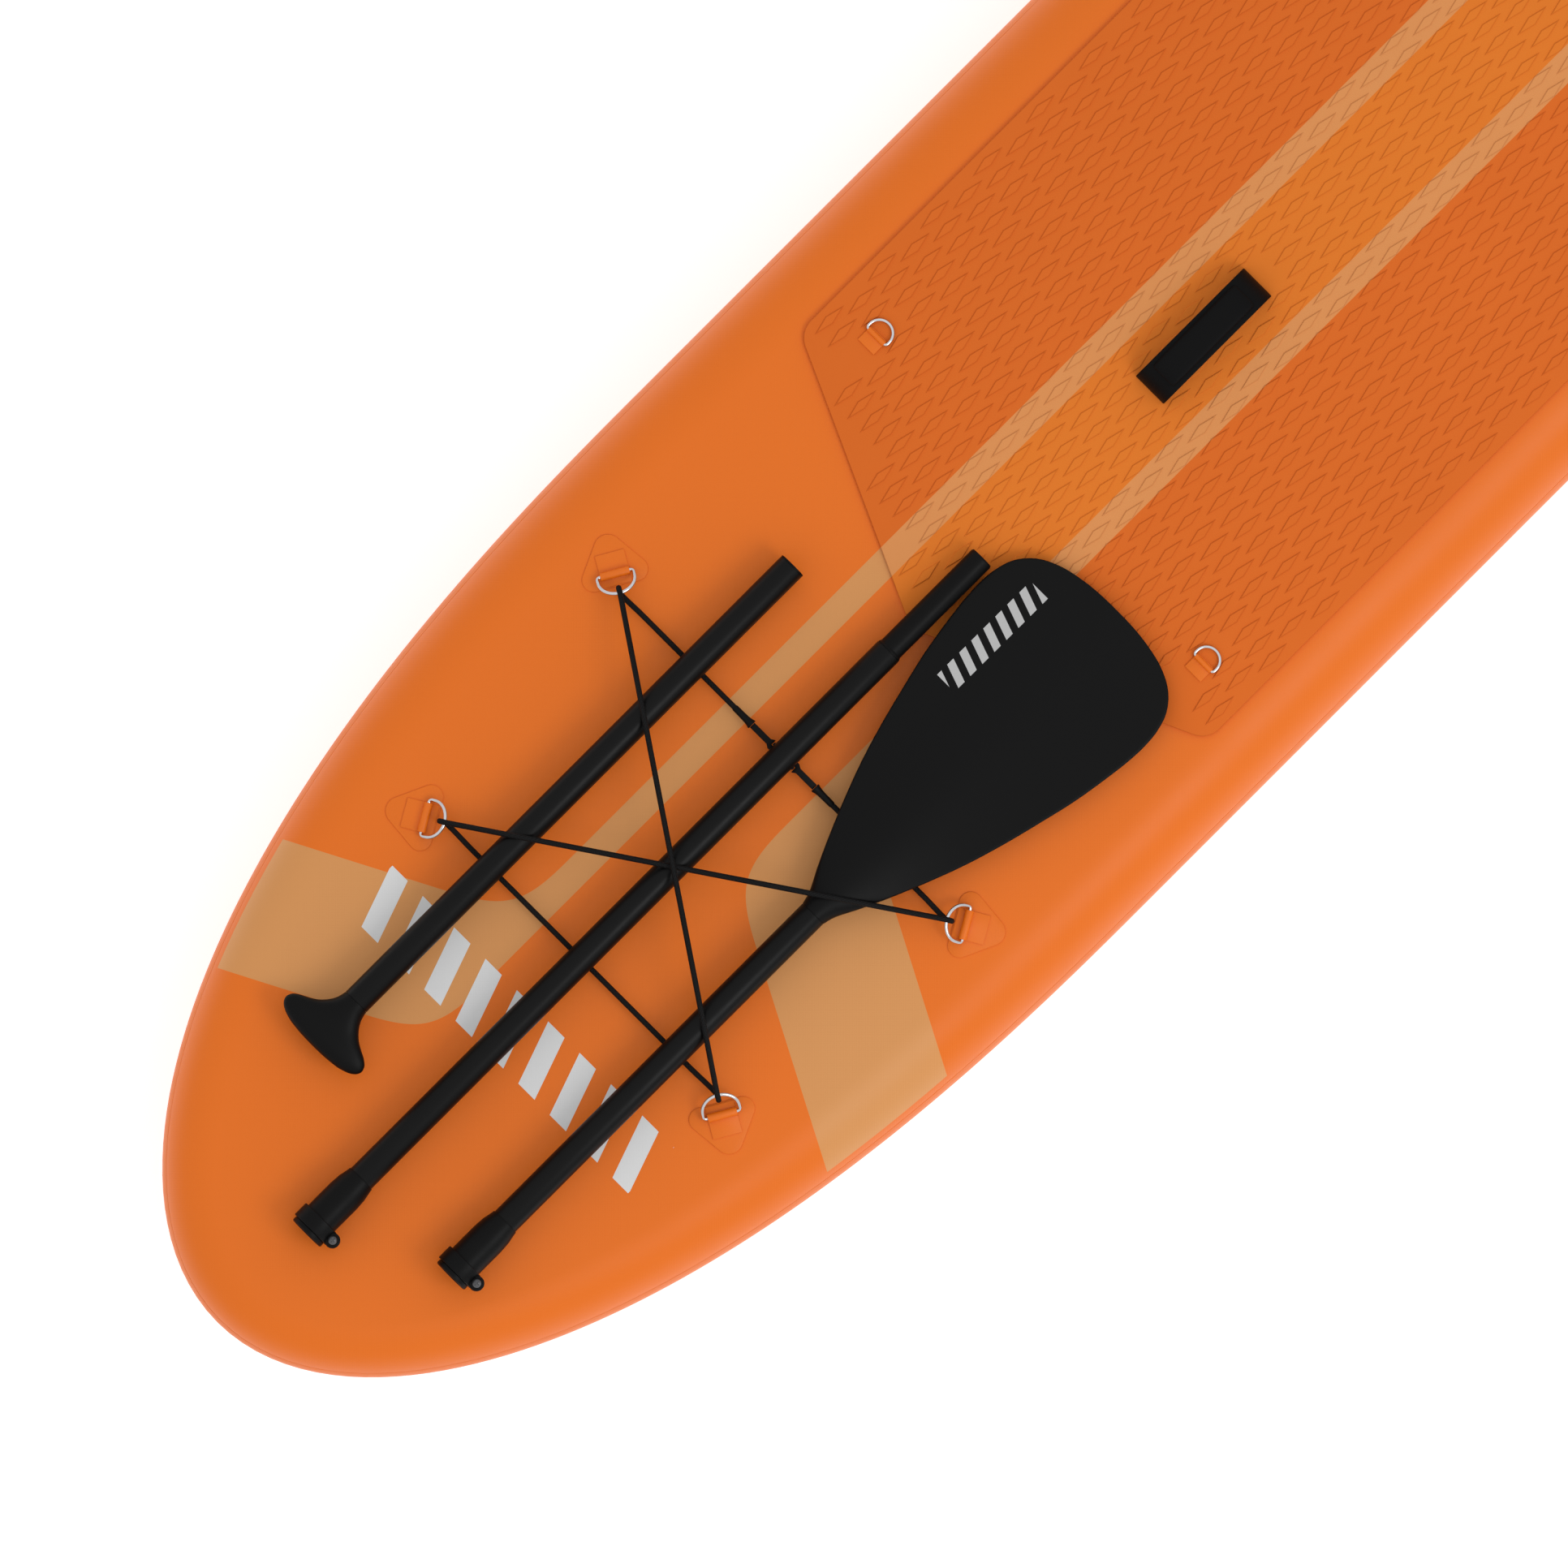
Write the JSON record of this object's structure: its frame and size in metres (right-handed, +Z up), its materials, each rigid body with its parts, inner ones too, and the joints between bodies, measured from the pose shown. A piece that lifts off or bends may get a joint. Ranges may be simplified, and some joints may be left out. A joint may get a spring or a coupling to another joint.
{
  "type": "stand up paddleboard",
  "caption": "Inflatable stand up paddleboard with a foam deck pad, deck bungee, carry handle, fins and a take-apart paddle stowed on the nose.",
  "frame": {"origin": "on the floor under the middle of the board, level with the fin tips", "axes": "+Y from the nose towards the tail, +X towards the rider's left when they face the nose, +Z up"},
  "size_m": [0.762, 3.05, 0.3474],
  "materials": {
    "coated_fabric": "satin orange coated fabric",
    "foam_pad": "matt rust foam with raised diamonds",
    "drop_stitch_thread": "pale polyester thread",
    "orange_webbing": "woven orange webbing",
    "black_webbing": "black webbing and neoprene",
    "polished_steel": "polished stainless steel",
    "shock_cord": "black braided sheath over rubber",
    "black_plastic": "satin black moulded nylon",
    "black_painted_tube": "black anodised tube",
    "fin_plastic": "black moulded nylon"
  },
  "bodies": {
    "board": {"deck_panel": "coated_fabric", "bottom_panel": "coated_fabric", "rail_band": "coated_fabric", "drop_stitch_core": "drop_stitch_thread", "traction_pad": "foam_pad", "front_left_patch": "coated_fabric", "front_left_strap": "orange_webbing", "front_left_ring": "polished_steel", "front_right_patch": "coated_fabric", "front_right_strap": "orange_webbing", "front_right_ring": "polished_steel", "rear_left_patch": "coated_fabric", "rear_left_strap": "orange_webbing", "rear_left_ring": "polished_steel", "rear_right_patch": "coated_fabric", "rear_right_strap": "orange_webbing", "rear_right_ring": "polished_steel", "bungee_cord": "shock_cord", "bungee_hook_left": "black_plastic", "bungee_hook_right": "black_plastic", "seat_front_left_strap": "orange_webbing", "seat_front_right_strap": "orange_webbing", "seat_rear_left_strap": "orange_webbing", "seat_rear_right_strap": "orange_webbing", "handle_strap": "black_webbing", "handle_grip": "black_webbing", "valve_body": "black_plastic", "valve_hinge_pin": "polished_steel", "valve_spring": "polished_steel", "leash_patch": "coated_fabric", "leash_strap": "orange_webbing", "fin_box": "black_plastic", "side_fin_left": "fin_plastic", "side_fin_right": "fin_plastic"},
    "grip_section": {"t_grip": "black_plastic", "grip_shaft": "black_painted_tube", "grip_shaft_cap": "black_plastic"},
    "middle_section": {"middle_socket": "black_plastic", "middle_clamp_ring": "black_plastic", "middle_shaft": "black_painted_tube", "middle_spigot": "black_plastic"},
    "middle_screw": {"middle_clamp_screw": "polished_steel"},
    "blade_section": {"blade_socket": "black_plastic", "blade_clamp_ring": "black_plastic", "blade_shaft": "black_painted_tube", "paddle_blade": "black_plastic"},
    "blade_screw": {"blade_clamp_screw": "polished_steel"},
    "centre_fin": {"centre_fin": "fin_plastic", "fin_roller_pin": "polished_steel", "fin_plate": "polished_steel"},
    "fin_thumb_screw": {"fin_screw": "polished_steel"},
    "valve_plunger": {"valve_plunger": "black_plastic"},
    "valve_cap": {"valve_cap": "black_plastic"},
    "leash_ring": {"leash_ring": "polished_steel"},
    "seat_front_left_ring": {"seat_front_left_ring": "polished_steel"},
    "seat_front_right_ring": {"seat_front_right_ring": "polished_steel"},
    "seat_rear_left_ring": {"seat_rear_left_ring": "polished_steel"},
    "seat_rear_right_ring": {"seat_rear_right_ring": "polished_steel"}
  },
  "joints": [
    {"name": "grip_section_slide", "type": "slide", "parent": "board", "child": "grip_section", "axis": [0, -0.9994, 0.0353], "range_m": [0, 0.5]},
    {"name": "middle_section_slide", "type": "slide", "parent": "board", "child": "middle_section", "axis": [0, -0.9994, 0.0353], "range_m": [0, 0.62]},
    {"name": "blade_section_slide", "type": "slide", "parent": "board", "child": "blade_section", "axis": [0, 0.9994, -0.0353], "range_m": [0, 0.235]},
    {"name": "middle_clamp_screw_turn", "type": "hinge", "parent": "middle_section", "child": "middle_screw", "pos_m": [0.025, -1.37741, 0.32389], "axis": [0, 0.0353, 0.9994], "continuous": true},
    {"name": "blade_clamp_screw_turn", "type": "hinge", "parent": "blade_section", "child": "blade_screw", "pos_m": [0.165, -1.30171, 0.32122], "axis": [0, 0.0353, 0.9994], "continuous": true},
    {"name": "fin_slide", "type": "slide", "parent": "board", "child": "centre_fin", "axis": [0, 0.9997, 0.0233], "range_m": [-0.02, 0.02]},
    {"name": "fin_screw_turn", "type": "hinge", "parent": "centre_fin", "child": "fin_thumb_screw", "pos_m": [0, 1.21198, 0.11895], "axis": [0, -0.0233, 0.9997], "continuous": true},
    {"name": "valve_plunger_press", "type": "slide", "parent": "board", "child": "valve_plunger", "axis": [0, 0.0233, -0.9997], "range_m": [0, 0.006], "stiffness_N_per_m": 600, "springref_m": -0.008, "deforming": ["valve_spring"]},
    {"name": "valve_cap_flip", "type": "hinge", "parent": "board", "child": "valve_cap", "pos_m": [0, 1.30937, 0.27539], "axis": [-1, 0, 0], "range_deg": [0, 150]},
    {"name": "leash_ring_swing", "type": "hinge", "parent": "board", "child": "leash_ring", "pos_m": [0, 1.3898, 0.27865], "axis": [1, 0, 0], "range_deg": [0, 175]},
    {"name": "seat_front_left_ring_swing", "type": "hinge", "parent": "board", "child": "seat_front_left_ring", "pos_m": [0.245, -0.293, 0.2734], "axis": [1, 0, 0], "range_deg": [0, 175]},
    {"name": "seat_rear_left_ring_swing", "type": "hinge", "parent": "board", "child": "seat_rear_left_ring", "pos_m": [0.245, 0.625, 0.2734], "axis": [-1, 0, 0], "range_deg": [0, 175]},
    {"name": "seat_front_right_ring_swing", "type": "hinge", "parent": "board", "child": "seat_front_right_ring", "pos_m": [-0.245, -0.293, 0.2734], "axis": [1, 0, 0], "range_deg": [0, 175]},
    {"name": "seat_rear_right_ring_swing", "type": "hinge", "parent": "board", "child": "seat_rear_right_ring", "pos_m": [-0.245, 0.625, 0.2734], "axis": [-1, 0, 0], "range_deg": [0, 175]}
  ]
}
